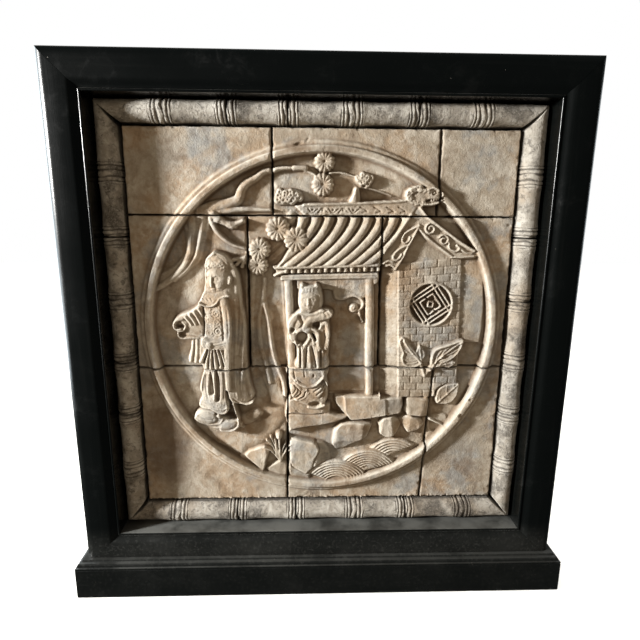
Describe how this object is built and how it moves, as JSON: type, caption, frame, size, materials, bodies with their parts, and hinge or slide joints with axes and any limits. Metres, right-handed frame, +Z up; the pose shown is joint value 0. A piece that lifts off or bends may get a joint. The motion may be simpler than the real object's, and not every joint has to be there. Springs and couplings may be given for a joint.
{
  "type": "framed carved clay tile panel",
  "caption": "Square relief panel of joined carved clay tiles with a round scene and bamboo border, in a moulded black wooden frame standing on a plinth.",
  "frame": {"origin": "middle of the plinth's flat underside", "axes": "+Z up, the carved face looks along -Y, +X to the right as one faces the carving"},
  "size_m": [0.992, 0.15, 1.0375],
  "materials": {
    "lacquered_wood": "old black lacquer, semi-gloss, rubbed and dusty",
    "fired_clay": "carved unglazed fired clay, warm grey with brown stains",
    "grey_clay": "unglazed fired clay, pale grey with dark dirt",
    "back_wood": "rough dark stained board"
  },
  "bodies": {
    "root": {"plinth": "lacquered_wood", "frame_stile_left": "lacquered_wood", "frame_stile_right": "lacquered_wood", "frame_rail_top": "lacquered_wood", "frame_rail_bottom": "lacquered_wood", "back_board": "back_wood", "border_top_1": "grey_clay", "border_top_2": "grey_clay", "border_top_3": "grey_clay", "border_top_4": "grey_clay", "border_bottom_1": "grey_clay", "border_bottom_2": "grey_clay", "border_bottom_3": "grey_clay", "border_bottom_4": "grey_clay", "border_left_1": "grey_clay", "border_left_2": "grey_clay", "border_left_3": "grey_clay", "border_left_4": "grey_clay", "border_right_1": "grey_clay", "border_right_2": "grey_clay", "border_right_3": "grey_clay", "border_right_4": "grey_clay", "tile_top_left": "fired_clay", "tile_top_centre": "fired_clay", "tile_top_right": "fired_clay", "tile_middle_left": "fired_clay", "tile_middle_centre": "fired_clay", "tile_middle_right": "fired_clay", "tile_bottom_left": "fired_clay", "tile_bottom_centre": "fired_clay", "tile_bottom_right": "fired_clay"}
  },
  "joints": []
}
